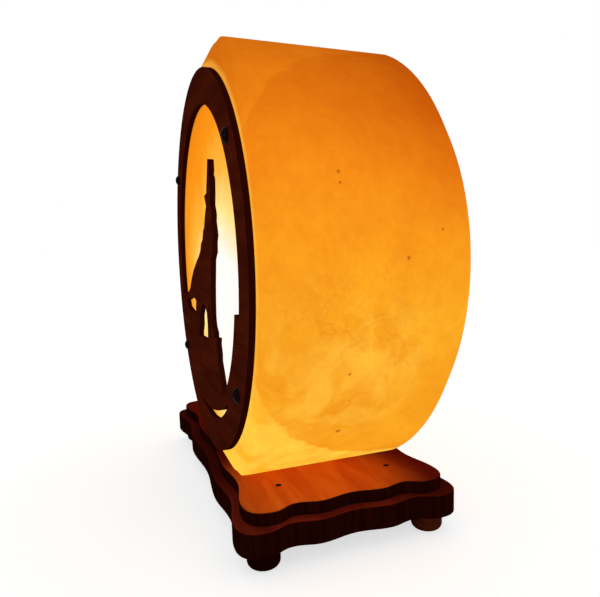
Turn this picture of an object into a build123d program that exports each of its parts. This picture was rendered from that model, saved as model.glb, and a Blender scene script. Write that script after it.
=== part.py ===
from build123d import *
import math
import os

# Salt crystal lamp: a thick drum of rock salt stands on a two-step scalloped wooden base.
# A laser-cut plywood ring with a howling wolf is screwed on its flat front face, and a small
# screw-in bulb on a spring-clipped holder goes up from below into a blind bore in the salt.
# Millimetres. +Z is up and the front faces -Y. The origin is the middle of the footprint,
# at the level of the table.

# ---------------------------------------------------------------- driving dimensions
# Salt drum, with its axis along Y
salt_radius = 100.0
salt_length = 74.5            # between the front and the back rim
salt_front_chamfer = 0.8      # depth of the front chamfer
salt_front_radius = 95.0      # radius of the flat front face
salt_back_chamfer = 9.75
salt_back_radius = 90.0
salt_flat_below = 88.5        # drum axis down to the sawn resting flat
salt_flat_above = 90.5        # drum axis up to the sawn top flat
bore_radius = 28.0            # blind bore for the bulb
bore_headroom = 22.0          # free height above the bulb's glass

# Front panel
ring_radius = 87.5
ring_opening_radius = 73.0
panel_thickness = 2.5
drawing_radius = 72.0         # the opening's radius in the wolf's drawing
rim_arc_width = 7.0           # short inner arc on the ring, low on the right
rim_arc_start = -15.0         # degrees, its cut end
slit_width = 3.8              # crescent slit between that arc and the ring
slit_start = -108.0           # degrees
slit_end = -50.0              # degrees
panel_screw_angle = 37.0      # degrees from the horizontal

# Base boards
upper_half_width = 82.0
upper_half_depth = 43.0
upper_thickness = 5.5
ledge = 4.0                   # how far the lower board stands out
lower_thickness = 10.0
scallop_depth = 3.4           # a notch, measured in from the corner lobes
lobe_depth = 1.4              # a middle lobe, measured in from the corner lobes
corner_size = 10.0            # from a corner lobe's outermost point to the board's corner
lobe_place = 0.40             # share of the way from a side's middle to the corner lobe
notch_place = 0.70
edge_round = 0.6
base_hole_radius = 22.0       # hole for the lamp holder, through both boards

# Feet
foot_radius = 6.5
foot_height = 8.0
foot_rest_radius = 4.0        # flat under a foot
foot_shoulder = 1.6           # rounding at its top
foot_inset_x = 10.0           # foot centre, in from the lower board's reach
foot_inset_y = 11.0

# Fasteners
screw_shank_radius = 1.75
screw_head_radius = 3.25
screw_head_height = 2.2
screw_slot = 0.9
plug_wall = 1.25
panel_screw_length = 16.0     # under the head
base_screw_length = 36.0      # overall
base_screw_x = 40.0
base_screw_y = 21.0
pin_radius = 0.8
pin_head_radius = 1.3
pin_length = 12.0
pin_x = 61.4
pin_y = 24.8
foot_screw_length = 13.0
foot_screw_radius = 1.5
foot_screw_head_radius = 2.6
foot_screw_head_height = 1.6

# Lamp holder
holder_radius = 14.0
holder_wall = 2.4
holder_height = 38.0          # the upper shell
cap_height = 12.0             # the lower cover
cap_wall = 2.0
nipple_radius = 5.0
nipple_bore_radius = 3.2      # the way in for the lead
nipple_drop = 5.0             # below the clip strap
nipple_flange_radius = 7.5
nipple_flange_height = 1.6
strap_width = 12.0
strap_thickness = 0.8
strap_gap = 0.5               # spring arm to the wall of the hole
arm_lip = 3.0                 # outward lip of an arm above the salt's flat
holder_lift = 6.0             # strap bottom above the lower board's underside
insert_radius = 10.4
insert_height = 7.0
shell_wall = 0.5
shell_height = 17.0
terminal_offset = 6.5
terminal_radius = 1.5
terminal_height = 5.0
contact_width = 4.0
contact_thickness = 0.5
contact_rise = 3.0            # of the spring tongue above the insert
contact_reach = 4.5

# Bulb
thread_pitch = 2.82
cap_radius = 6.95             # over the thread crests
cap_root_radius = 6.45
cap_thickness = 0.35
thread_turns = 5
neck_height = 3.0             # plain collar of the bulb cap above the thread
insulator_height = 4.0
insulator_foot_radius = 4.0
tip_radius = 2.4
tip_height = 1.2
tip_pin_radius = 1.0
tip_pin_length = 2.5
glass_radius = 13.0
glass_height = 42.0
glass_wall = 0.7
stem_radius = 3.0
stem_height = 12.0
lead_radius = 0.35
lead_height = 9.0             # above the stem
lead_spread = 6.0
filament_radius = 0.6
filament_rise = 3.0

# Fits
body_gap = 0.35               # between pieces that move past each other
pin_gap = 0.05                # running fit of the bulb's contact pin
hole_gap = 0.25               # clearance hole round a screw

# ---------------------------------------------------------------- levels, from the table up
lower_bottom = foot_height
lower_top = lower_bottom + lower_thickness
upper_top = lower_top + upper_thickness
salt_bottom = upper_top
drum_z = salt_bottom + salt_flat_below
salt_top = drum_z + salt_flat_above

front_rim_y = -salt_length / 2
salt_front_y = front_rim_y - salt_front_chamfer
panel_front_y = salt_front_y - panel_thickness

strap_bottom = lower_bottom + holder_lift
cap_bottom = strap_bottom + strap_thickness
holder_bottom = cap_bottom + cap_height
holder_top = holder_bottom + holder_height
insert_top = holder_bottom + insert_height
tip_bottom = insert_top + contact_rise + body_gap
insulator_bottom = tip_bottom + tip_height
cap_thread_bottom = insulator_bottom + insulator_height
glass_bottom = cap_thread_bottom + thread_turns * thread_pitch + neck_height
glass_top = glass_bottom + glass_height
bore_top = glass_top + bore_headroom
shell_inner_radius = cap_radius + body_gap
ring_middle_radius = (ring_radius + ring_opening_radius) / 2

lower_half_width = upper_half_width + ledge
lower_half_depth = upper_half_depth + ledge
foot_x = lower_half_width - foot_inset_x
foot_y = lower_half_depth - foot_inset_y


# ---------------------------------------------------------------- small tools
def polar(radius, degrees):
    """A point at a radius and an angle."""
    angle = math.radians(degrees)
    return radius * math.cos(angle), radius * math.sin(angle)


def turned(profile):
    """A solid turned about the Z axis from a closed (radius, height) outline."""
    outline = Plane.XZ * make_face(Polyline(*profile, close=True))
    return revolve(outline, Axis.Z)


def on_front(sketch, depth):
    """Stands a flat drawing upright on the front: its X stays X and its Y becomes Z."""
    front = Plane(origin=(0, panel_front_y + depth, drum_z), x_dir=(1, 0, 0), z_dir=(0, -1, 0))
    return extrude(front * sketch, depth)


def at_corners(half_x, half_y):
    """The four corner places of a rectangle about the origin."""
    return [(x, y) for x in (-half_x, half_x) for y in (-half_y, half_y)]


def slotted_head(radius, height, slot):
    """A low domed screw head with a screwdriver slot, standing on Z = 0."""
    dome_radius = (radius ** 2 + height ** 2) / (2 * height)
    dome = Pos(0, 0, height - dome_radius) * Sphere(dome_radius)
    head = dome & Pos(0, 0, height / 2) * Cylinder(radius, height)
    return head - Pos(0, 0, height) * Box(2 * radius, slot, height)


# ---------------------------------------------------------------- salt
def salt_blank():
    """The turned drum with its chamfers, lying along Y, before it is sawn and bored."""
    back_rim_y = front_rim_y + salt_length
    outline = Polyline(
        (0, salt_front_y),
        (salt_front_radius, salt_front_y),
        (salt_radius, front_rim_y),
        (salt_radius, back_rim_y),
        (salt_back_radius, back_rim_y + salt_back_chamfer),
        (0, back_rim_y + salt_back_chamfer),
        close=True,
    )
    return Pos(0, 0, drum_z) * revolve(make_face(outline), Axis.Y)


def salt_body():
    """The salt drum, sawn flat below and above, with the bulb's bore and the plug holes."""
    height = salt_top - salt_bottom
    window = Pos(0, 0, salt_bottom + height / 2) * Box(3 * salt_radius, 3 * salt_radius, height)
    bore_height = bore_top - salt_bottom
    dome = Pos(0, 0, bore_top - bore_radius / 2) * Cylinder(bore_radius, bore_radius)
    dome = fillet(dome.edges().sort_by(Axis.Z)[-1], bore_radius / 3)
    straight = bore_height - bore_radius / 2
    bore = dome + Pos(0, 0, salt_bottom + straight / 2) * Cylinder(bore_radius, straight)
    body = (salt_blank() & window) - bore
    for hole in plug_places(plug_outer_radius()):
        body -= hole
    return body


def plug_outer_radius():
    """Outside radius of a nylon plug, which fills its hole in the salt."""
    return screw_shank_radius + plug_wall


def panel_plug_length():
    """Length of a plug behind the panel: the screw ends inside it."""
    return panel_screw_length - panel_thickness + plug_wall


def base_plug_length():
    """Length of a plug above the base: the screw ends inside it."""
    return base_screw_length - lower_thickness - upper_thickness + plug_wall


def panel_screw_places():
    """Centres of the panel's screws, as X and Z."""
    angles = (panel_screw_angle, 180 - panel_screw_angle, 180 + panel_screw_angle, -panel_screw_angle)
    spots = [polar(ring_middle_radius, angle) for angle in angles]
    return [(x, drum_z + z) for x, z in spots]


def plug_places(radius):
    """Rods at every plug's place in the salt: four behind the panel and four above the base."""
    length = panel_plug_length()
    rods = [
        Pos(x, salt_front_y + length / 2, z) * Rot(90, 0, 0) * Cylinder(radius, length)
        for x, z in panel_screw_places()
    ]
    length = base_plug_length()
    rods += [
        Pos(x, y, salt_bottom + length / 2) * Cylinder(radius, length)
        for x, y in at_corners(base_screw_x, base_screw_y)
    ]
    return rods


# ---------------------------------------------------------------- front panel
# The wolf in the ring's opening, from its nose round the throat, the legs, the tail and the
# back to its ear. Measured from the drum's axis: right and up.
wolf_outline = [
    (24.4, 45.6), (26.2, 45.0), (26.4, 41.0), (23.4, 35.4), (26.2, 38.6), (27.4, 36.8),
    (26.6, 31.0), (25.2, 26.6), (27.6, 22.4), (26.6, 19.4), (28.8, 13.6), (26.4, 10.4), (26.0, 6.4),
    (21.4, 3.2), (19.6, -3.0), (17.8, -9.0), (16.4, -16.0), (15.6, -23.0), (16.8, -27.0),
    (20.0, -29.5), (20.0, -34.0), (12.4, -34.0), (12.6, -27.0), (12.8, -19.0), (11.4, -15.0),
    (9.9, -19.0), (9.6, -26.0), (11.0, -30.0), (11.0, -36.0), (4.4, -36.0), (5.4, -27.5),
    (4.6, -22.0), (0.5, -18.6), (-6.5, -18.4), (-12.0, -21.6), (-16.0, -25.5), (-16.8, -30.5),
    (-20.5, -34.5), (-20.5, -39.0), (-29.0, -39.0), (-27.0, -27.0), (-27.6, -22.5), (-25.6, -18.6),
    (-30.0, -17.4), (-40.0, -18.2), (-50.0, -19.2), (-58.0, -20.6), (-72.0, -21.5), (-72.0, -16.6),
    (-60.0, -17.0), (-52.0, -16.0), (-44.0, -12.8), (-37.5, -7.8), (-29.5, -2.9), (-16.0, 2.7),
    (-10.0, 4.6), (-4.8, 7.2), (-2.0, 10.4), (2.7, 12.4), (6.0, 16.6), (8.6, 17.6), (12.2, 23.0),
    (16.0, 26.8), (12.6, 31.4), (18.0, 32.0), (21.0, 38.2),
]
# The rocky ground under it, from its left end along the top to the small cliff.
ground_outline = [
    (-76.0, -19.0), (-60.0, -20.0), (-56.5, -24.2), (-44.0, -25.8), (-30.0, -25.0), (-25.5, -30.5),
    (-23.5, -36.6), (-6.0, -35.8), (6.0, -34.2), (21.0, -31.6), (26.2, -31.0), (24.8, -34.0),
    (26.4, -38.5), (26.0, -41.5), (29.6, -47.0), (36.0, -58.0), (20.0, -76.0), (-60.0, -76.0),
]


def arc_band(inner, outer, start, end):
    """A flat piece of a ring between two radii and two angles."""
    middle = (start + end) / 2
    edges = [
        ThreePointArc(polar(outer, start), polar(outer, middle), polar(outer, end)),
        Line(polar(outer, end), polar(inner, end)),
        ThreePointArc(polar(inner, end), polar(inner, middle), polar(inner, start)),
        Line(polar(inner, start), polar(outer, start)),
    ]
    return make_face(edges)


def crescent(radius, width, start, end):
    """A flat crescent that lies inside a circle and ends on it."""
    middle = (start + end) / 2
    edges = [
        ThreePointArc(polar(radius, start), polar(radius, middle), polar(radius, end)),
        ThreePointArc(polar(radius, end), polar(radius - width, middle), polar(radius, start)),
    ]
    return make_face(edges)


def front_panel():
    """The plywood ring with the wolf on its rock, cut as one piece, with its screw holes."""
    scale = ring_opening_radius / drawing_radius
    wolf = make_face(Polyline(*[(x * scale, y * scale) for x, y in wolf_outline], close=True))
    ground = make_face(Polyline(*[(x * scale, y * scale) for x, y in ground_outline], close=True))
    scene = (wolf + ground) & Circle(ring_middle_radius)
    drawing = Circle(ring_radius) - Circle(ring_opening_radius)
    rim_arc_radius = ring_opening_radius - rim_arc_width
    drawing += arc_band(rim_arc_radius, ring_middle_radius, rim_arc_start, slit_start)
    drawing += scene
    drawing -= crescent(ring_opening_radius, slit_width, slit_start, slit_end)
    for x, z in panel_screw_places():
        drawing -= Pos(x, z - drum_z) * Circle(screw_shank_radius + hole_gap)
    return on_front(drawing, panel_thickness)


# ---------------------------------------------------------------- base boards
def scalloped(half_width, half_depth):
    """The wavy outline of a base board: on each side three notches between soft lobes."""
    edges = []
    for turn_x, turn_y in ((1, 1), (-1, 1), (1, -1), (-1, -1)):
        across = wavy_side(half_width, half_depth)
        along = [(x, y) for y, x in wavy_side(half_depth, half_width)]
        runs = [(across, (1, 0)), (along, (0, 1))]
        for points, (tangent_x, tangent_y) in runs:
            placed = [(turn_x * x, turn_y * y) for x, y in points]
            way = (turn_x * tangent_x, turn_y * tangent_y)
            for start, end in zip(placed, placed[1:]):
                edges.append(Spline(start, end, tangents=(way, way)))
        corner = [(turn_x * x, turn_y * y) for x, y in (across[-1], along[-1])]
        edges.append(Spline(*corner, tangents=((turn_x, 0), (0, -turn_y))))
    return make_face(edges)


def wavy_side(half_length, reach):
    """Half of a side's wave, from the middle notch to the corner lobe, as (along, out)."""
    straight = half_length - corner_size
    return [
        (0.0, reach - scallop_depth), (lobe_place * straight, reach - lobe_depth),
        (notch_place * straight, reach - scallop_depth), (straight, reach),
    ]


def board(half_width, half_depth, thickness, bottom):
    """A scalloped board with eased edges, the holder's hole and its screw holes."""
    body = extrude(Pos(0, 0, bottom) * scalloped(half_width, half_depth), thickness)
    rims = body.edges().group_by(Axis.Z)
    body = fillet(rims[-1] + rims[0], edge_round)
    middle = bottom + thickness / 2
    body -= Pos(0, 0, middle) * Cylinder(base_hole_radius, 2 * thickness)
    for x, y in at_corners(base_screw_x, base_screw_y):
        body -= Pos(x, y, middle) * Cylinder(screw_shank_radius + hole_gap, 2 * thickness)
    return body


def upper_board():
    """The upper board, with holes for the four pins that nail it down."""
    body = board(upper_half_width, upper_half_depth, upper_thickness, lower_top)
    for place in at_corners(pin_x, pin_y):
        body -= Pos(*place) * pin_solid()
    return body


def lower_board():
    """The lower board, countersunk below for the salt's screws."""
    body = board(lower_half_width, lower_half_depth, lower_thickness, lower_bottom)
    for x, y in at_corners(base_screw_x, base_screw_y):
        body -= Pos(x, y, lower_bottom) * countersunk_head()
    for place in at_corners(pin_x, pin_y):
        body -= Pos(*place) * pin_solid()
    for x, y in at_corners(foot_x, foot_y):
        body -= Pos(x, y, 0) * foot_screw_solid()
    return body


def feet():
    """Four turned wooden bun feet, by the name of their corner."""
    named = {}
    for x, side in ((-foot_x, "left"), (foot_x, "right")):
        for y, end in ((-foot_y, "front"), (foot_y, "back")):
            bun = Cylinder(foot_radius, foot_height, align=(Align.CENTER, Align.CENTER, Align.MIN))
            bun = fillet(bun.edges().group_by(Axis.Z)[0], foot_radius - foot_rest_radius)
            bun = fillet(bun.edges().group_by(Axis.Z)[-1], foot_shoulder)
            bun -= Cylinder(foot_screw_head_radius, 2 * foot_screw_head_height)
            named[f"foot_{end}_{side}"] = Pos(x, y, 0) * (bun - foot_screw_solid())
    return named


# ---------------------------------------------------------------- fasteners
def countersunk_head():
    """A flat countersunk head from Z = 0 up, with the screw's shank radius at its top."""
    depth = screw_head_radius - screw_shank_radius
    cone = Cone(screw_head_radius, screw_shank_radius, depth)
    return Pos(0, 0, depth / 2) * cone


def base_screws():
    """Four countersunk screws that hold the salt down, from below through both boards."""
    point = screw_shank_radius
    shank = base_screw_length - point
    screw = Pos(0, 0, shank / 2) * Cylinder(screw_shank_radius, shank) + countersunk_head()
    screw += Pos(0, 0, shank + point / 2) * Cone(screw_shank_radius, screw_slot / 2, point)
    for turn in (0, 90):
        screw -= Rot(0, 0, turn) * Box(screw_head_radius, screw_slot, 2 * screw_slot)
    return [Pos(x, y, lower_bottom) * screw for x, y in at_corners(base_screw_x, base_screw_y)]


def panel_screws():
    """Four black round-headed screws on the ring."""
    shank = Pos(0, 0, -panel_screw_length / 2) * Cylinder(screw_shank_radius, panel_screw_length)
    screw = shank + slotted_head(screw_head_radius, screw_head_height, screw_slot)
    return [
        Pos(x, panel_front_y, z) * Rot(90, 0, 0) * Rot(0, 0, 25 * count) * screw
        for count, (x, z) in enumerate(panel_screw_places())
    ]


def plugs():
    """The nylon plugs in the salt, behind the panel and above the base."""
    shanks = plug_places(screw_shank_radius)
    bodies = [body - shank for body, shank in zip(plug_places(plug_outer_radius()), shanks)]
    half = len(bodies) // 2
    ends = []
    length = panel_plug_length()
    for x, z in panel_screw_places():
        ends.append(Pos(x, salt_front_y + length - plug_wall / 4, z) * Rot(90, 0, 0)
                    * Cylinder(plug_outer_radius(), plug_wall / 2))
    length = base_plug_length()
    for x, y in at_corners(base_screw_x, base_screw_y):
        ends.append(Pos(x, y, salt_bottom + length - plug_wall / 4)
                    * Cylinder(plug_outer_radius(), plug_wall / 2))
    bodies = [body + end for body, end in zip(bodies, ends)]
    return bodies[:half], bodies[half:]


def pin_solid():
    """A small brass pin, its head sunk level with the upper board."""
    head_height = pin_radius
    head = Pos(0, 0, upper_top - head_height / 2) * Cylinder(pin_head_radius, head_height)
    return head + Pos(0, 0, upper_top - pin_length / 2) * Cylinder(pin_radius, pin_length)


def foot_screw_solid():
    """The screw that holds a foot, its head sunk into the foot from below."""
    head_bottom = foot_screw_head_height
    head = Pos(0, 0, head_bottom + foot_screw_head_height / 2)
    screw = head * Cylinder(foot_screw_head_radius, foot_screw_head_height)
    shank = Pos(0, 0, head_bottom + foot_screw_length / 2)
    return screw + shank * Cylinder(foot_screw_radius, foot_screw_length)


# ---------------------------------------------------------------- lamp holder
def clip_strap():
    """The spring-steel strap: it crosses under the holder and its arms grip the base's hole."""
    arm_x = math.sqrt((base_hole_radius - strap_gap) ** 2 - (strap_width / 2) ** 2)
    lip_z = salt_bottom + body_gap
    bottom = strap_bottom
    outer = [
        (-arm_x, bottom), (arm_x, bottom), (arm_x, lip_z + arm_lip),
        (arm_x - arm_lip, lip_z + 2 * arm_lip), (arm_x - arm_lip - strap_thickness, lip_z + 2 * arm_lip),
        (arm_x - strap_thickness, lip_z + arm_lip - strap_thickness / 2),
        (arm_x - strap_thickness, bottom + strap_thickness),
        (-arm_x + strap_thickness, bottom + strap_thickness),
        (-arm_x + strap_thickness, lip_z + arm_lip - strap_thickness / 2),
        (-arm_x + arm_lip + strap_thickness, lip_z + 2 * arm_lip),
        (-arm_x + arm_lip, lip_z + 2 * arm_lip), (-arm_x, lip_z + arm_lip),
    ]
    section = make_face(Polyline(*outer, close=True))
    strap = extrude(Plane.XZ * section, strap_width / 2, both=True)
    hole = Pos(0, 0, bottom) * Cylinder(nipple_radius, 4 * strap_thickness)
    return strap - hole


def cord_nipple():
    """The threaded tube that clamps the strap to the holder; the lead comes in through it."""
    top = cap_bottom + cap_wall + nipple_flange_height
    bottom = strap_bottom - nipple_drop
    tube = Pos(0, 0, (top + bottom) / 2) * Cylinder(nipple_radius, top - bottom)
    flange = Pos(0, 0, strap_bottom - nipple_flange_height / 2)
    nut = flange * extrude(RegularPolygon(nipple_flange_radius, 6), nipple_flange_height / 2, both=True)
    bore = Pos(0, 0, (top + bottom) / 2) * Cylinder(nipple_bore_radius, 2 * (top - bottom))
    return tube + nut - bore


def holder_cap():
    """The holder's lower cover, over the wiring space."""
    cup = Pos(0, 0, cap_bottom + cap_height / 2) * Cylinder(holder_radius, cap_height)
    cup = fillet(cup.edges().group_by(Axis.Z)[0], cap_wall * 0.8)
    room = cap_height - cap_wall
    cup -= Pos(0, 0, cap_bottom + cap_wall + room / 2) * Cylinder(holder_radius - cap_wall, room)
    return cup - Pos(0, 0, cap_bottom) * Cylinder(nipple_radius, 4 * cap_wall)


def holder_shell():
    """The holder's upper shell, ribbed for the fingers, with a shoulder over the insert."""
    inner = holder_radius - holder_wall
    mouth = shell_inner_radius + shell_wall + body_gap
    height = holder_top - holder_bottom
    shell = Pos(0, 0, holder_bottom + height / 2) * Cylinder(holder_radius, height)
    shell = fillet(shell.edges().group_by(Axis.Z)[-1], holder_wall * 0.6)
    shell -= Pos(0, 0, holder_bottom + height / 2) * Cylinder(inner, 2 * height)
    shoulder_top = insert_top + holder_wall
    ring = Pos(0, 0, (insert_top + shoulder_top) / 2) * Cylinder(inner, shoulder_top - insert_top)
    ring -= Pos(0, 0, insert_top) * Cylinder(mouth, 4 * holder_wall)
    return shell + ring


def holder_insert():
    """The ceramic insert that carries the contacts."""
    body = Pos(0, 0, holder_bottom + insert_height / 2) * Cylinder(insert_radius, insert_height)
    for x in (-terminal_offset, terminal_offset):
        body -= Pos(x, 0, holder_bottom + terminal_height / 2) * Cylinder(terminal_radius, terminal_height)
    return body


def terminal_screws():
    """The two brass screws that clamp the lead's wires under the insert."""
    head_height = terminal_radius
    screws = []
    for x in (-terminal_offset, terminal_offset):
        shank = Pos(x, 0, holder_bottom + terminal_height / 2) * Cylinder(terminal_radius, terminal_height)
        head = Pos(x, 0, holder_bottom) * Rot(180, 0, 0)
        screws.append(shank + head * slotted_head(2 * terminal_radius, head_height, terminal_radius / 2))
    return screws


def screw_shell():
    """The threaded brass sleeve that the bulb's cap goes into."""
    outer = shell_inner_radius + shell_wall
    sleeve = Pos(0, 0, insert_top + shell_height / 2) * Cylinder(outer, shell_height)
    return sleeve - Pos(0, 0, insert_top + shell_height / 2) * Cylinder(shell_inner_radius, shell_height)


def centre_contact():
    """The springy brass tongue under the bulb's contact."""
    foot = Pos(contact_reach / 2, 0, insert_top + contact_thickness / 2)
    tongue = foot * Box(contact_reach, contact_width, contact_thickness)
    riser_height = contact_rise
    riser = Pos(contact_reach - contact_thickness / 2, 0, insert_top + riser_height / 2)
    tongue += riser * Box(contact_thickness, contact_width, riser_height)
    top = Pos(contact_reach / 2 - contact_width / 4, 0, insert_top + contact_rise - contact_thickness / 2)
    return tongue + top * Box(contact_reach + contact_width / 2, contact_width, contact_thickness)


# ---------------------------------------------------------------- bulb
def bulb_tip():
    """The solder contact at the bulb's foot, with its pin."""
    button = Pos(0, 0, tip_bottom + tip_height / 2) * Cylinder(tip_radius, tip_height)
    button = fillet(button.edges().group_by(Axis.Z)[0], tip_height * 0.6)
    return button + Pos(0, 0, insulator_bottom + tip_pin_length / 2) * Cylinder(tip_pin_radius, tip_pin_length)


def bulb_insulator():
    """The black glass cone between the contact and the threaded cap."""
    cone = turned([
        (0, insulator_bottom + pin_gap), (insulator_foot_radius, insulator_bottom + pin_gap),
        (cap_root_radius - cap_thickness, cap_thread_bottom - insulator_height / 4),
        (cap_root_radius - cap_thickness, cap_thread_bottom), (0, cap_thread_bottom),
    ])
    pin_room = tip_pin_length + pin_gap
    return cone - Pos(0, 0, insulator_bottom + pin_room / 2) * Cylinder(tip_pin_radius + pin_gap, pin_room)


def bulb_cap():
    """The plated cap with its rolled thread, shown as even waves, and a plain collar."""
    points = [(cap_root_radius, cap_thread_bottom)]
    for turn in range(thread_turns):
        low = cap_thread_bottom + turn * thread_pitch
        points += [(cap_radius, low + thread_pitch / 2), (cap_root_radius, low + thread_pitch)]
    collar_top = glass_bottom
    points += [(cap_radius, points[-1][1] + thread_pitch / 4), (cap_radius, collar_top)]
    inner = [(radius - cap_thickness, height) for radius, height in reversed(points)]
    return turned(points + inner)


def bulb_glass():
    """The pear-shaped glass, sunk a little into the cap's collar."""
    neck = cap_radius - cap_thickness
    start = glass_bottom - neck_height / 2
    swell = glass_top - glass_radius
    outer = [
        Line((0, start), (neck, start)),
        Line((neck, start), (neck, glass_bottom + pin_gap)),
        Spline((neck, glass_bottom + pin_gap), (glass_radius, swell), tangents=((0.5, 1), (0, 1))),
        ThreePointArc((glass_radius, swell), polar_up(glass_radius, swell), (0, glass_top)),
        Line((0, glass_top), (0, start)),
    ]
    inside_neck = neck - glass_wall
    inside_radius = glass_radius - glass_wall
    inner = [
        Line((0, start + glass_wall), (inside_neck, start + glass_wall)),
        Line((inside_neck, start + glass_wall), (inside_neck, glass_bottom + pin_gap)),
        Spline((inside_neck, glass_bottom + pin_gap), (inside_radius, swell), tangents=((0.5, 1), (0, 1))),
        ThreePointArc((inside_radius, swell), polar_up(inside_radius, swell), (0, glass_top - glass_wall)),
        Line((0, glass_top - glass_wall), (0, start + glass_wall)),
    ]
    full = revolve(Plane.XZ * make_face(outer), Axis.Z)
    return full - revolve(Plane.XZ * make_face(inner), Axis.Z)


def polar_up(radius, height):
    """The middle point of a quarter arc about (0, height)."""
    across, up = polar(radius, 45)
    return across, height + up


def bulb_stem():
    """The glass stem that holds the filament's wires."""
    bottom = glass_bottom - neck_height / 2 + glass_wall
    flare = neck_height
    return turned([
        (0, bottom), (stem_radius + 1.0, bottom), (stem_radius, bottom + flare),
        (stem_radius * 0.7, bottom + stem_height), (0, bottom + stem_height),
    ])


def stem_top():
    """Level of the top of the stem."""
    return glass_bottom - neck_height / 2 + glass_wall + stem_height


def lead_wires():
    """Two wires from the stem up to the filament's ends."""
    wires = []
    for side in (-1, 1):
        start = (side * stem_radius * 0.35, 0, stem_top() + lead_radius)
        end = (side * lead_spread, 0, stem_top() + lead_height)
        path = Line(start, end)
        wires.append(sweep(Plane(origin=start, z_dir=path % 0) * Circle(lead_radius), path))
    return wires


def filament():
    """The coiled filament as a slim arched rod between the two wires."""
    ends_z = stem_top() + lead_height + lead_radius
    path = ThreePointArc((-lead_spread, 0, ends_z), (0, 0, ends_z + filament_rise), (lead_spread, 0, ends_z))
    start = Plane(origin=path @ 0, z_dir=path % 0)
    return sweep(start * Circle(filament_radius), path)


# ---------------------------------------------------------------- all nodes
def gather():
    """Every node by its name."""
    panel_plugs, base_plugs = plugs()
    nodes = {
        "salt_body": salt_body(),
        "front_panel": front_panel(),
        "panel_screws": panel_screws(),
        "panel_plugs": panel_plugs,
        "upper_board": upper_board(),
        "lower_board": lower_board(),
        "board_pins": [Pos(*place) * pin_solid() for place in at_corners(pin_x, pin_y)],
        "base_screws": base_screws(),
        "base_plugs": base_plugs,
        "foot_screws": [Pos(x, y, 0) * foot_screw_solid() for x, y in at_corners(foot_x, foot_y)],
        "clip_strap": clip_strap(),
        "cord_nipple": cord_nipple(),
        "holder_cap": holder_cap(),
        "holder_shell": holder_shell(),
        "holder_insert": holder_insert(),
        "terminal_screws": terminal_screws(),
        "screw_shell": screw_shell(),
        "centre_contact": centre_contact(),
        "bulb_tip": bulb_tip(),
        "bulb_insulator": bulb_insulator(),
        "bulb_cap": bulb_cap(),
        "bulb_glass": bulb_glass(),
        "bulb_stem": bulb_stem(),
        "lead_wires": lead_wires(),
        "filament": filament(),
    }
    nodes.update(feet())
    return nodes


os.makedirs("parts", exist_ok=True)
for name, shape in gather().items():
    body = Compound(children=shape) if isinstance(shape, list) else shape
    export_step(body, f"parts/{name}.step")
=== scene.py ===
import math

import bpy
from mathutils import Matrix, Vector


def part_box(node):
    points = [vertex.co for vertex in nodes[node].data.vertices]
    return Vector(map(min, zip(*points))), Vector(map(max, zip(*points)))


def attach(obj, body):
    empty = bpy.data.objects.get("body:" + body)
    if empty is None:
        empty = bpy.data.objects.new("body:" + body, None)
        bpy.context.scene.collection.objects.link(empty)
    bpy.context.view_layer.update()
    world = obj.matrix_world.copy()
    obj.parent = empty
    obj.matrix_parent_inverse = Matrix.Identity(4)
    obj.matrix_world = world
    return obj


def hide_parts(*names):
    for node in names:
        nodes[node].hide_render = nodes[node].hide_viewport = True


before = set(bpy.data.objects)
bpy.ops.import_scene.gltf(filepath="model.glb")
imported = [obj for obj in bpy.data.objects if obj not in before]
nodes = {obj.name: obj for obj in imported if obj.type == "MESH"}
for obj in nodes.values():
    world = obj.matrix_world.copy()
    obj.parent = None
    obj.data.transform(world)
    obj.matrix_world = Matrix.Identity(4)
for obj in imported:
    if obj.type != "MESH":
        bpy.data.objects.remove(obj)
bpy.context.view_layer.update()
scene = bpy.context.scene
bpy.ops.object.select_all(action="DESELECT")


# ---------------------------------------------------------------- camera
# The camera stands close to the lamp, to the right of its front and level with the drum's
# middle, and looks a little down. The turn about each axis is in degrees.
camera_place = (0.26323, -0.08538, 0.11837)
camera_turn = (82.718, 1.512, 69.229)
camera_lens = 32.43
camera_sensor = 36.0
camera_shift = (-0.0148, 0.0341)
camera_near = 0.01

bpy.ops.object.camera_add(location=camera_place, rotation=[math.radians(turn) for turn in camera_turn])
camera = bpy.context.object
camera.data.sensor_width = camera_sensor
camera.data.lens = camera_lens
camera.data.shift_x, camera.data.shift_y = camera_shift
camera.data.clip_start = camera_near
scene.camera = camera
scene.view_settings.view_transform = "Standard"


# ---------------------------------------------------------------- floor and light
# A plain white floor and an even white sky. The floor adds a little white of its own for the
# camera and for reflections, so that it is white around the lamp and keeps a soft shadow.
floor_size = 12.0
floor_white = 0.45
floor_lift = 0.66
sky_light = 0.85
sky_seen = 1.0


def join(value, socket):
    """Links a result to a socket, or sets the socket to a plain number, place or colour."""
    if isinstance(value, (int, float)):
        socket.default_value = value
    elif isinstance(value, tuple):
        socket.default_value = value if len(value) == len(socket.default_value) else (*value, 1)
    else:
        tree.links.new(value, socket)


def add(kind, **values):
    """A new node of the material in hand, with its named inputs and properties set."""
    node = tree.nodes.new("ShaderNode" + kind)
    for key, value in values.items():
        if key in node.inputs:
            join(value, node.inputs[key])
        else:
            setattr(node, key, value)
    return node


def calc(operation, *values):
    """A sum on results or plain numbers; returns its result."""
    node = add("Math", operation=operation)
    for value, socket in zip(values, node.inputs):
        join(value, socket)
    return node.outputs[0]


def seen_straight():
    """1 for what the camera sees, also in metal and through glass, and 0 for light on a piece."""
    rays = add("LightPath").outputs
    seen = calc("MAXIMUM", rays["Is Camera Ray"], rays["Is Glossy Ray"])
    return calc("MAXIMUM", seen, rays["Is Transmission Ray"])


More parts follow.
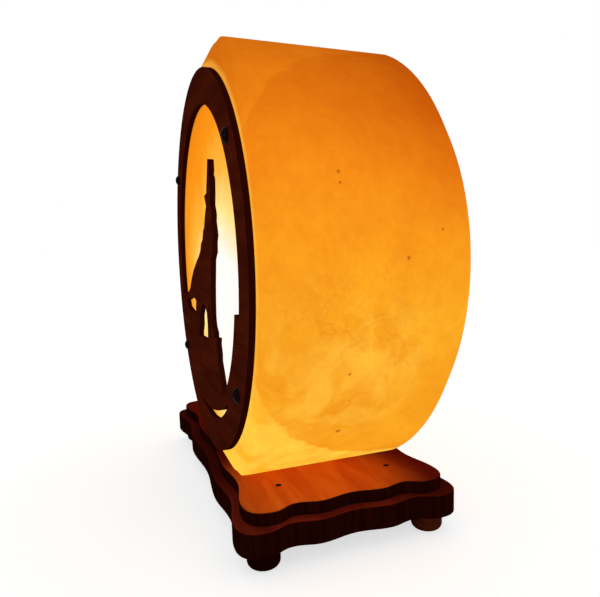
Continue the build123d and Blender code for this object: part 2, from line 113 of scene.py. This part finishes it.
bpy.ops.mesh.primitive_plane_add(size=floor_size)
floor = bpy.context.object
floor.name = "floor"
floor_paint = bpy.data.materials.new("white_floor")
floor_paint.use_nodes = True
floor.data.materials.append(floor_paint)
tree = floor_paint.node_tree
tree.nodes.clear()
floor_cover = add("AddShader")
join(add("BsdfDiffuse", Color=(floor_white, floor_white, floor_white)).outputs[0], floor_cover.inputs[0])
floor_glow = add("Emission", Strength=calc("MULTIPLY", seen_straight(), floor_lift))
join(floor_glow.outputs[0], floor_cover.inputs[1])
join(floor_cover.outputs[0], add("OutputMaterial").inputs["Surface"])

sky = bpy.data.worlds.new("white_sky")
scene.world = sky
sky.use_nodes = True
tree = sky.node_tree
tree.nodes.clear()
sky_cover = add("MixShader", Fac=seen_straight())
join(add("Background", Color=(1.0, 1.0, 1.0), Strength=sky_light).outputs[0], sky_cover.inputs[1])
join(add("Background", Color=(1.0, 1.0, 1.0), Strength=sky_seen).outputs[0], sky_cover.inputs[2])
join(sky_cover.outputs[0], add("OutputWorld").inputs["Surface"])


# ---------------------------------------------------------------- salt drum
# One block of orange rock salt, turned to a drum, sawn flat below and above, and smoothed.
# Its front rim is only eased, its back rim has a wide bevel, and the bulb's bore is drilled
# into it from below. The bulb lights it from inside; here that glow is painted light, drawn
# into the salt's emission.
salt_low, salt_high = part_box("salt_body")
salt_radius = 0.100
salt_flat_below = 0.0885
salt_sides = 192
front_chamfer = 0.0008
front_inset = 0.005
back_chamfer = 0.00975
back_inset = 0.010
worn_run = 0.0045          # the front face leans back by this much at its sawn ends,
worn_rise = 0.014           # over this height
bore_radius = 0.028
bore_top = 0.12345
bore_sides = 96
bore_round = bore_radius / 3
bore_round_steps = 6
grain_size = 0.0014
weld = 0.00001
straight_on = 0.9           # a face whose normal lies this close to a direction looks that way

drum_z = salt_low.z + salt_flat_below
front_rim_y = salt_low.y + front_chamfer
back_rim_y = salt_high.y - back_chamfer
bpy.ops.mesh.primitive_cylinder_add(
    vertices=salt_sides, radius=salt_radius, depth=back_rim_y - front_rim_y,
    location=(0, (front_rim_y + back_rim_y) / 2, drum_z), rotation=(math.pi / 2, 0, 0),
)
salt = bpy.context.object
salt.name = "salt_block"
bpy.ops.object.transform_apply(location=True, rotation=True, scale=True)


def pick(piece, rule):
    """Goes into face mode with only those faces of a piece selected that follow a rule."""
    for item in (*piece.data.vertices, *piece.data.edges):
        item.select = False
    for face in piece.data.polygons:
        face.select = rule(face)
    bpy.ops.object.mode_set(mode="EDIT")
    bpy.ops.mesh.select_mode(type="FACE")


for side, inset, out_by in ((-1, front_inset, -front_chamfer), (1, back_inset, back_chamfer)):
    pick(salt, lambda face: face.normal.y * side > straight_on)
    bpy.ops.mesh.inset(thickness=inset)
    bpy.ops.transform.translate(value=(0, out_by, 0))
    bpy.ops.object.mode_set(mode="OBJECT")

bpy.ops.object.mode_set(mode="EDIT")
for height, up in ((salt_low.z, -1), (salt_high.z, 1)):
    bpy.ops.mesh.select_all(action="SELECT")
    bpy.ops.mesh.bisect(plane_co=(0, 0, height), plane_no=(0, 0, up), use_fill=True, clear_outer=True)
    bpy.ops.mesh.select_all(action="SELECT")
    bpy.ops.mesh.bisect(
        plane_co=(0, salt_low.y, height - up * worn_rise), plane_no=(0, -worn_rise, up * worn_run),
        use_fill=True, clear_outer=True)
bpy.ops.mesh.select_all(action="SELECT")
bpy.ops.mesh.remove_doubles(threshold=weld)
bpy.ops.mesh.normals_make_consistent(inside=False)
bpy.ops.object.mode_set(mode="OBJECT")

bpy.ops.mesh.primitive_cylinder_add(
    vertices=bore_sides, radius=bore_radius, depth=2 * (bore_top - salt_low.z),
    location=(0, 0, salt_low.z))
drill = bpy.context.object
pick(drill, lambda face: face.normal.z > straight_on)
bpy.ops.mesh.bevel(offset=bore_round, segments=bore_round_steps)
bpy.ops.mesh.select_all(action="SELECT")
bpy.ops.mesh.normals_make_consistent(inside=False)
bpy.ops.object.mode_set(mode="OBJECT")
cut = salt.modifiers.new("bore", "BOOLEAN")
cut.operation = "DIFFERENCE"
cut.object = drill
cut.solver = "EXACT"
bpy.ops.object.select_all(action="DESELECT")
salt.select_set(True)
bpy.context.view_layer.objects.active = salt
bpy.ops.object.modifier_apply(modifier=cut.name)
bpy.data.objects.remove(drill)

grain = salt.modifiers.new("even_grain", "REMESH")
grain.mode = "VOXEL"
grain.voxel_size = grain_size
grain.use_smooth_shade = True
bpy.ops.object.modifier_apply(modifier=grain.name)
ease = salt.modifiers.new("worn_edges", "SMOOTH")
ease.factor = 0.5
ease.iterations = 3
bpy.ops.object.modifier_apply(modifier=ease.name)


def material(name, colour, roughness, metallic=0.0, specular=0.5):
    """A new material, in hand from here on, with plain starting values; returns it."""
    global tree, bsdf, place
    made = bpy.data.materials.new(name)
    made.use_nodes = True
    tree = made.node_tree
    bsdf = tree.nodes["Principled BSDF"]
    join(colour, bsdf.inputs["Base Color"])
    join(roughness, bsdf.inputs["Roughness"])
    join(metallic, bsdf.inputs["Metallic"])
    join(specular, bsdf.inputs["Specular IOR Level"])
    place = add("TexCoord").outputs["Object"]
    return made


def parts(where):
    """The X, Y and Z of a place."""
    node = add("SeparateXYZ")
    join(where, node.inputs[0])
    return node.outputs["X"], node.outputs["Y"], node.outputs["Z"]


def spot(x, y, z):
    """A place from its X, Y and Z."""
    node = add("CombineXYZ")
    for value, socket in zip((x, y, z), node.inputs):
        join(value, socket)
    return node.outputs[0]


def ramp(value, stops):
    """A colour from a value between 0 and 1, by (value, colour) stops that start at 0 and end at 1."""
    node = add("ValToRGB")
    elements = node.color_ramp.elements
    for step, colour in stops[1:-1]:
        elements.new(step).color = (*colour, 1)
    elements[0].color = (*stops[0][1], 1)
    elements[-1].color = (*stops[-1][1], 1)
    join(value, node.inputs["Fac"])
    return node.outputs["Color"]


def span(value, low, high, to_low=0.0, to_high=1.0):
    """Maps a value smoothly from one range to another."""
    node = add("MapRange", interpolation_type="SMOOTHSTEP")
    for name, number in (("From Min", low), ("From Max", high), ("To Min", to_low), ("To Max", to_high)):
        join(number, node.inputs[name])
    join(value, node.inputs["Value"])
    return node.outputs["Result"]


def blend(share, first, second, mode="MIX"):
    """Mixes two colours by a share."""
    node = add("Mix", data_type="RGBA", blend_type=mode)
    for value, socket in ((share, node.inputs[0]), (first, node.inputs[6]), (second, node.inputs[7])):
        join(value, socket)
    return node.outputs[2]


def noise(scale, detail, roughness=0.55, distortion=0.0, where=None):
    """Soft noise at a place, or over the whole piece; returns its value."""
    node = add("TexNoise", Scale=scale, Detail=detail, Roughness=roughness, Distortion=distortion)
    join(where or place, node.inputs["Vector"])
    return node.outputs["Fac"]


def edges(scale, where):
    """Distance from the nearest border between irregular cells."""
    node = add("TexVoronoi", feature="DISTANCE_TO_EDGE", Scale=scale)
    join(where, node.inputs["Vector"])
    return node.outputs["Distance"]


def distance(centre, where):
    """Distance of a place from a fixed point."""
    node = add("VectorMath", operation="DISTANCE")
    join(where, node.inputs[0])
    join(centre, node.inputs[1])
    return node.outputs["Value"]


def moved_by_noise(scale, amount):
    """The place, shifted about by soft noise."""
    node = add("TexNoise", Scale=scale, Detail=3.0)
    join(place, node.inputs["Vector"])
    centred = add("VectorMath", operation="SUBTRACT")
    join(node.outputs["Color"], centred.inputs[0])
    join((0.5, 0.5, 0.5), centred.inputs[1])
    scaled = add("VectorMath", operation="SCALE", Scale=amount)
    join(centred.outputs[0], scaled.inputs[0])
    total = add("VectorMath", operation="ADD")
    join(place, total.inputs[0])
    join(scaled.outputs[0], total.inputs[1])
    return total.outputs[0]


def stretched(scale):
    """The place with each axis scaled by itself, for a grain that runs one way."""
    node = add("Mapping", Scale=scale)
    join(place, node.inputs["Vector"])
    return node.outputs[0]


def bumps(height, strength, depth):
    """Gives the material in hand a bump from a height."""
    node = add("Bump", Strength=strength, Distance=depth, Height=height)
    join(node.outputs[0], bsdf.inputs["Normal"])


# The glow is yellow low down and a deeper orange towards the top, in wavering bands. Each
# pattern from here on is a noise's scale and detail, some with its roughness and distortion too,
# and a range is the noise's values where the pattern starts and where it is full. A waver is the
# scale of a shift and how far it goes.
unlit_salt = (0.16, 0.045, 0.002)
band_waver = (22.0, 0.014)
glow_bands = (
    (0.0, (0.96, 0.42, 0.018)), (0.39, (0.95, 0.45, 0.021)), (0.52, (0.95, 0.39, 0.016)),
    (0.70, (0.88, 0.270, 0.0090)), (0.80, (0.73, 0.185, 0.0055)), (1.0, (0.52, 0.115, 0.0035)),
)
salt_paint = material("lit_rock_salt", unlit_salt, roughness=0.5, specular=0.0)
salt.data.materials.clear()
salt.data.materials.append(salt_paint)
across, inwards, upwards = parts(place)
wavy = moved_by_noise(*band_waver)
wavy_upwards = parts(wavy)[2]
height = add("MapRange", Value=wavy_upwards)
join(salt_low.z, height.inputs["From Min"])
join(salt_high.z, height.inputs["From Max"])
glow = ramp(height.outputs["Result"], glow_bands)

# The glow is darker inside a lens-shaped patch on the right-hand side, with a ragged edge.
# Below it the salt is a streaky yellow.
lens_centre = (0.100, 0.051, 0.1155)
lens_radius = 0.102
lens_edge = 0.0012
lens_waver = (75.0, 0.010)
lens_tint = (0.92, 0.81, 0.72)
streak_pattern = (9.0, 5.0, 0.6, 0.6)
streak_stretch = (1.0, 4.0, 7.0)
streak_range = (0.35, 0.62)
streak_heights = (0.052, 0.072)
streak_yellow = (0.98, 0.58, 0.055)
from_lens = distance(lens_centre, moved_by_noise(*lens_waver))
lens = span(from_lens, lens_radius - lens_edge, lens_radius + lens_edge, 1.0, 0.0)
glow = blend(lens, glow, lens_tint, "MULTIPLY")
streaks = span(noise(*streak_pattern, stretched(streak_stretch)), *streak_range)
under_lens = calc("MULTIPLY", calc("SUBTRACT", 1.0, lens), span(upwards, *streak_heights, 1.0, 0.0))
glow = blend(calc("MULTIPLY", under_lens, streaks), glow, streak_yellow)

# Clouds, veins and a fine grain run through the whole block, each with its range and the
# darkest and brightest shade that it gives.
cloud_pattern = (26.0, 5.0, 0.6, 0.4)
cloud_shades = (0.36, 0.64, 0.91, 1.06)
vein_pattern = (75.0, 8.0, 0.7, 1.2)
vein_shades = (0.38, 0.62, 0.955, 1.04)
grain_pattern = (300.0, 4.0, 0.7, 0.0)
grain_shades = (0.30, 0.70, 0.955, 1.04)
clouds = span(noise(*cloud_pattern), *cloud_shades)
veins = span(noise(*vein_pattern), *vein_shades)
fine_grain = span(noise(*grain_pattern), *grain_shades)
shade = calc("MULTIPLY", calc("MULTIPLY", clouds, veins), fine_grain)

# Hairline cracks, brighter lines and yellow patches lie low in the middle of both sides.
cracked_centre = (0.094, -0.009, 0.078)
cracked_reach = (0.018, 0.048)
cracked_pattern = (30.0, 3.0)
cracked_range = (0.36, 0.54)
crack_cells = 105.0
crack_waver = (90.0, 0.012)
crack_width = (0.006, 0.05)
crack_depth = 0.13
line_cells = 150.0
line_waver = (140.0, 0.010)
line_width = (0.004, 0.045)
line_share = 0.24
line_yellow = (1.0, 0.62, 0.075)
patch_pattern = (48.0, 3.0, 0.5, 0.8)
patch_range = (0.42, 0.60)
patch_heights = (0.110, 0.080)
patch_share = 0.60
patch_yellow = (1.0, 0.56, 0.052)
from_cracked = distance(cracked_centre, spot(calc("ABSOLUTE", across), inwards, wavy_upwards))
near_middle = span(from_cracked, *cracked_reach, 1.0, 0.0)
cracked = calc("MULTIPLY", near_middle, span(noise(*cracked_pattern), *cracked_range))
cracks = span(edges(crack_cells, moved_by_noise(*crack_waver)), *crack_width, 1.0, 0.0)
cracks = calc("MULTIPLY", cracks, cracked)
lines = span(edges(line_cells, moved_by_noise(*line_waver)), *line_width, 1.0, 0.0)
lines = calc("MULTIPLY", lines, cracked)
glow = blend(calc("MULTIPLY", lines, line_share), glow, line_yellow)
patches = calc("MULTIPLY", span(noise(*patch_pattern), *patch_range), near_middle)
patches = calc("MULTIPLY", patches, span(upwards, *patch_heights))
glow = blend(calc("MULTIPLY", patches, patch_share), glow, patch_yellow)
shade = calc("MULTIPLY", shade, calc("SUBTRACT", 1.0, calc("MULTIPLY", cracks, crack_depth)))

# Specks of rust in the salt, each with its place and its radius.
specks = (
    ((0.0947, -0.0104, 0.1441), 0.0011), ((0.0959, -0.0103, 0.1404), 0.0008),
    ((0.1000, 0.0134, 0.1147), 0.0012), ((0.0992, 0.0277, 0.1244), 0.0009),
    ((0.0925, -0.0063, 0.0740), 0.0010), ((0.0771, -0.0047, 0.0484), 0.0017),
    ((-0.0960, 0.0110, 0.1330), 0.0011), ((-0.0880, -0.0180, 0.0650), 0.0013),
    ((0.0240, 0.0470, 0.1500), 0.0012), ((-0.0410, 0.0470, 0.0900), 0.0015),
)
speck_rust = (0.34, 0.065, 0.003)
speck_share = 0.75
speck_core, speck_reach = 0.3, 0.9      # shares of its radius
speck_waver = (300.0, 0.0014)
ragged = moved_by_noise(*speck_waver)
for centre, radius in specks:
    speck = span(distance(centre, ragged), radius * speck_core, radius * speck_reach, speck_share, 0.0)
    glow = blend(speck, glow, speck_rust)

# The glow is painted dimmer towards the bevel of the upper back, where the salt is thickest:
# painted shade.
back_shade_tint = (0.72, 0.47, 0.25)
back_depths = (-0.006, 0.046)
back_heights = (0.10, 0.18)
dim_back_shade = calc("MULTIPLY", span(inwards, *back_depths), span(upwards, *back_heights))
glow = blend(dim_back_shade, glow, back_shade_tint, "MULTIPLY")

# The front face has a paler rim round the ring, a painted highlight, and glows almost white
# inside the ring's opening, where the salt in front of the bulb is thin.
face_depth = (0.0004, 0.0010)
ring_radius = 0.0875
rim_start, rim_end = ring_radius + 0.001, ring_radius + 0.004
rim_share = 0.45
rim_highlight = (1.0, 0.56, 0.065)
opening_radius = 0.073
hot_start, hot_end = opening_radius - 0.002, opening_radius + 0.006
hot_centre = (0.038, salt_low.y, 0.092)
hot_reach = 0.1
left_centre = (-0.012, salt_low.y, 0.098)
left_start = 0.30           # the bulb's glow on the left starts this far along the bands
left_rate = 9.0             # and goes along them by this much in a metre
hot_bands = (
    (0.0, (1.0, 0.99, 0.96)), (0.27, (1.0, 0.99, 0.96)), (0.44, (1.0, 0.78, 0.27)),
    (0.60, (1.0, 0.46, 0.045)), (0.80, (0.90, 0.29, 0.009)), (1.0, (0.84, 0.24, 0.006)),
)
hot_shade = 0.98
on_face = span(inwards, salt_low.y + face_depth[0], salt_low.y + face_depth[1], 1.0, 0.0)
from_axis = distance((0, salt_low.y, drum_z), place)
beside_ring = calc("MULTIPLY", on_face, span(from_axis, rim_start, rim_end, 1.0, 0.0))
glow = blend(calc("MULTIPLY", beside_ring, rim_share), glow, rim_highlight)
behind_opening = calc("MULTIPLY", on_face, span(from_axis, hot_start, hot_end, 1.0, 0.0))
hot = calc("DIVIDE", distance(hot_centre, wavy), hot_reach)
hot_left = calc("MULTIPLY_ADD", distance(left_centre, wavy), left_rate, left_start)
hot_glow = ramp(calc("MINIMUM", hot, hot_left), hot_bands)
glow = blend(behind_opening, glow, hot_glow)
shade = calc("MAXIMUM", shade, calc("MULTIPLY", behind_opening, hot_shade))

# A thicker spot turns a deeper orange: its red falls least. The surface is a little uneven, and
# each crack is a shallow groove.
red_kept = 0.6
uneven_pattern = (60.0, 6.0)
crack_groove = -0.4
depth = add("CombineColor")
join(calc("MULTIPLY_ADD", shade, 1.0 - red_kept, red_kept), depth.inputs[0])
join(shade, depth.inputs[1])
join(shade, depth.inputs[2])
# The painted glow is the salt's emission: painted light.
join(blend(1.0, glow, depth.outputs[0], "MULTIPLY"), bsdf.inputs["Emission Color"])
join(1.0, bsdf.inputs["Emission Strength"])
uneven = calc("ADD", noise(*uneven_pattern), calc("MULTIPLY", cracks, crack_groove))
bumps(uneven, strength=0.25, depth=0.0006)
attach(salt, "lamp")
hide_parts("salt_body")


# ---------------------------------------------------------------- front panel
# A ring of thin plywood with the wolf and its rock, cut by laser in one piece and stained
# almost black. The cut edges are charred, and the face keeps a faint reddish grain.
panel_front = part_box("front_panel")[0].y
panel_face = (0.052, 0.0062, 0.0018)
panel_grain = (0.082, 0.0105, 0.0030)
panel_char = (0.026, 0.0030, 0.0008)
panel_pattern = (9.0, 6.0, 0.62, 0.3)
panel_stretch = (1.6, 9.0, 14.0)
panel_range = (0.38, 0.66)
char_depth = (0.00002, 0.00012)


def wear(node, made):
    """Puts a material on a piece of the frame."""
    for slot in nodes[node].material_slots:
        slot.material = made


plywood = material("stained_plywood", panel_face, roughness=0.60, specular=0.0)
grain_lines = noise(*panel_pattern, stretched(panel_stretch))
face_colour = blend(span(grain_lines, *panel_range), panel_face, panel_grain)
charred = span(parts(place)[1], panel_front + char_depth[0], panel_front + char_depth[1])
join(blend(charred, face_colour, panel_char), bsdf.inputs["Base Color"])
bumps(grain_lines, strength=0.25, depth=0.0003)
wear("front_panel", plywood)


# ---------------------------------------------------------------- base boards
# Two scalloped boards, stained red-brown. Their tops keep the warm stain with a painted pool
# of the salt's light beside the salt and painted shade away from it; the lower board's ledge is
# the same stain painted darker, as shade, and the moulded edges are stain darkened by painted shade.
upper_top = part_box("upper_board")[1].z
lower_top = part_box("lower_board")[1].z
lit_place = (0.066, -0.012)
lit_reach = (0.022, 0.052)
# Each set is two grain tones in painted light from the salt and a third of painted shade; the edges are
# dark stain with painted shade.
upper_top_lit_and_shaded = ((0.47, 0.066, 0.0050), (0.62, 0.125, 0.0100), (0.085, 0.0055, 0.0016))
ledge_lit_and_shaded = ((0.085, 0.0075, 0.0030), (0.15, 0.0150, 0.0065), (0.055, 0.0045, 0.0018))
edge_stain_and_shade = ((0.012, 0.0013, 0.0005), (0.024, 0.0027, 0.0010))
board_pattern = (11.0, 7.0, 0.6, 0.5)
board_stretch = (1.2, 9.0, 9.0)
board_range = (0.34, 0.66)
saw_pattern = (420.0, 3.0, 0.6, 0.0)
saw_stretch = (1.0, 1.0, 0.04)
saw_range = (0.35, 0.70)
top_skin = (0.0005, 0.0001)


def board_wood(name, top_level, top_lit_and_shaded):
    """Stained board wood: two grain tones along X in painted light, and painted shade away from it."""
    made = material(name, top_lit_and_shaded[0], roughness=0.42, specular=0.0)
    grain_lines = noise(*board_pattern, stretched(board_stretch))
    top_colour = blend(span(grain_lines, *board_range), top_lit_and_shaded[0], top_lit_and_shaded[1])
    across, inwards, upwards = parts(place)
    unlit = span(distance((*lit_place, 0.0), spot(across, inwards, 0.0)), *lit_reach)
    top_colour = blend(unlit, top_colour, top_lit_and_shaded[2])
    saw_marks = noise(*saw_pattern, stretched(saw_stretch))
    edge_colour = blend(span(saw_marks, *saw_range), *edge_stain_and_shade)
    on_top = span(upwards, top_level - top_skin[0], top_level - top_skin[1])
    join(blend(on_top, edge_colour, top_colour), bsdf.inputs["Base Color"])
    bumps(grain_lines, strength=0.2, depth=0.0003)
    return made


wear("upper_board", board_wood("upper_wood_painted_light", upper_top, upper_top_lit_and_shaded))
wear("lower_board", board_wood("lower_wood_painted_light", lower_top, ledge_lit_and_shaded))


# ---------------------------------------------------------------- feet
# Four turned wooden buns under the corners, each held by a screw and stained like the boards.
# The front ones are painted darker, as shade, in the boards' edge colour.
foot_light = (0.11, 0.020, 0.0055)
foot_dark = (0.045, 0.0070, 0.0020)
foot_pattern = (30.0, 4.0, 0.6, 0.2)
foot_stretch = (1.0, 1.0, 5.0)
foot_range = (0.35, 0.65)
shaded_to_lit = (-0.02, 0.02)       # from the front feet to the back ones
foot_wood = material("feet_stain_and_shade", foot_light, roughness=0.5, specular=0.0)
turning_lines = noise(*foot_pattern, stretched(foot_stretch))
foot_colour = blend(span(turning_lines, *foot_range), foot_light, foot_dark)
# Painted shade on the front feet.
towards_back = span(parts(place)[1], *shaded_to_lit)
join(blend(towards_back, edge_stain_and_shade[0], foot_colour), bsdf.inputs["Base Color"])
bumps(turning_lines, strength=0.2, depth=0.0003)
for node in ("foot_front_left", "foot_front_right", "foot_back_left", "foot_back_right"):
    wear(node, foot_wood)


# ---------------------------------------------------------------- screws and plugs
# Black round-headed screws on the ring, dark pins in the upper board, zinc-plated wood screws
# below, and nylon plugs that are pressed into the salt for them.
def skin(scale, strength, detail=2.0, depth=0.0001):
    """Gives the material in hand the fine unevenness of a plated, drawn, cast or moulded surface."""
    bumps(noise(scale, detail), strength, depth)


black_oxide = material("black_oxide", (0.0075, 0.0030, 0.0025), roughness=0.45, specular=0.01)
skin(scale=1200.0, strength=0.06)
for node in ("panel_screws", "board_pins"):
    wear(node, black_oxide)
zinc = material("zinc", (0.62, 0.63, 0.66), roughness=0.34, metallic=1.0)
skin(scale=1000.0, strength=0.05)
for node in ("base_screws", "foot_screws"):
    wear(node, zinc)
nylon = material("nylon", (0.55, 0.55, 0.52), roughness=0.5)
skin(scale=500.0, strength=0.05)
for node in ("panel_plugs", "base_plugs"):
    wear(node, nylon)


# ---------------------------------------------------------------- lamp holder
# A black moulded holder with a ceramic insert and brass contacts, held up in the base by a
# bent spring strap. Its shell has a grip of upright ribs moulded into its side.
strap_pattern = (240.0, 3.0)
strap_stretch = (1.0, 12.0, 1.0)
plastic_black = (0.018, 0.018, 0.019)
rib_count = 30
ribs_from_low = (0.002, 0.004)
ribs_from_high = (0.010, 0.008)
ribs_low, ribs_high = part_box("holder_shell")

spring_steel = material("spring_steel", (0.36, 0.38, 0.42), roughness=0.3, metallic=1.0)
bumps(noise(*strap_pattern, where=stretched(strap_stretch)), strength=0.08, depth=0.0001)
wear("clip_strap", spring_steel)
black_plastic = material("black_plastic", plastic_black, roughness=0.40, specular=0.35)
skin(scale=1500.0, strength=0.12)
for node in ("cord_nipple", "holder_cap"):
    wear(node, black_plastic)

ribbed_plastic = material("ribbed_plastic", plastic_black, roughness=0.40, specular=0.35)
across, inwards, upwards = parts(place)
ribs = calc("SINE", calc("MULTIPLY", calc("ARCTAN2", inwards, across), rib_count))
low_end = span(upwards, ribs_low.z + ribs_from_low[0], ribs_low.z + ribs_from_low[1])
high_end = span(upwards, ribs_high.z - ribs_from_high[0], ribs_high.z - ribs_from_high[1], 1.0, 0.0)
bumps(calc("MULTIPLY", ribs, calc("MULTIPLY", low_end, high_end)), strength=0.9, depth=0.0005)
wear("holder_shell", ribbed_plastic)

ceramic = material("ceramic", (0.78, 0.76, 0.70), roughness=0.6)
skin(scale=700.0, strength=0.1, detail=3.0)
wear("holder_insert", ceramic)
brass = material("brass", (0.60, 0.36, 0.10), roughness=0.32, metallic=1.0)
skin(scale=900.0, strength=0.05)
for node in ("terminal_screws", "screw_shell", "centre_contact"):
    wear(node, brass)


# ---------------------------------------------------------------- bulb
# A small screw-in bulb: a solder contact, a black glass cone, a plated cap and clear glass
# over a glowing coil on two wires.
glass_index = 1.45
solder = material("solder", (0.45, 0.45, 0.46), roughness=0.45, metallic=1.0)
skin(scale=700.0, strength=0.2, detail=3.0, depth=0.0002)
for node in ("bulb_tip", "lead_wires"):
    wear(node, solder)
black_glass = material("black_glass", (0.01, 0.01, 0.012), roughness=0.12)
wear("bulb_insulator", black_glass)
nickel = material("nickel", (0.66, 0.63, 0.57), roughness=0.22, metallic=1.0)
skin(scale=600.0, strength=0.05)
wear("bulb_cap", nickel)
glass = material("clear_glass", (1.0, 0.97, 0.92), roughness=0.03)
join(1.0, bsdf.inputs["Transmission Weight"])
join(glass_index, bsdf.inputs["IOR"])
for node in ("bulb_glass", "bulb_stem"):
    wear(node, glass)

# The filament is a finely wound coil, hung in two straight runs from the middle to its wires.
coil_low, coil_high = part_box("filament")
coil_radius = 0.0005
coil_wire = 0.00011
coil_turns = 16
steps_in_a_turn = 14
wire_sides = 8
coil_glow = (1.0, 0.62, 0.25)
coil_brightness = 6.0
coil_paint = material("glowing_coil", (0.9, 0.6, 0.3), roughness=0.5)
join(coil_glow, bsdf.inputs["Emission Color"])
join(coil_brightness, bsdf.inputs["Emission Strength"])
reach = (coil_high.x - coil_low.x) / 2 - coil_radius
rise = coil_high.z - coil_low.z - 2 * coil_radius
lean = math.atan2(reach, rise)
coil_runs = []
for side in (-1, 1):
    bpy.ops.object.select_all(action="DESELECT")
    bpy.ops.mesh.primitive_circle_add(
        vertices=wire_sides, radius=coil_wire, location=(coil_radius, 0, 0), rotation=(math.pi / 2, 0, 0))
    run = bpy.context.object
    bpy.ops.object.transform_apply(location=True, rotation=True, scale=True)
    winding = run.modifiers.new("winding", "SCREW")
    winding.screw_offset = math.hypot(reach, rise) / coil_turns
    winding.iterations = coil_turns
    winding.steps = winding.render_steps = steps_in_a_turn
    bpy.ops.object.modifier_apply(modifier=winding.name)
    run.rotation_euler = (0, -side * lean, 0)
    run.location = (side * reach, 0, coil_low.z + coil_radius)
    bpy.ops.object.transform_apply(location=True, rotation=True, scale=True)
    coil_runs.append(run)
bpy.ops.object.select_all(action="DESELECT")
for run in coil_runs:
    run.select_set(True)
bpy.context.view_layer.objects.active = coil_runs[0]
bpy.ops.object.join()
coil = bpy.context.object
coil.name = "filament_coil"
bpy.ops.object.mode_set(mode="EDIT")
bpy.ops.mesh.select_all(action="SELECT")
bpy.ops.mesh.normals_make_consistent(inside=False)
bpy.ops.object.mode_set(mode="OBJECT")
bpy.ops.object.shade_smooth()
coil.data.materials.clear()
coil.data.materials.append(coil_paint)
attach(coil, "bulb")
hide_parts("filament")
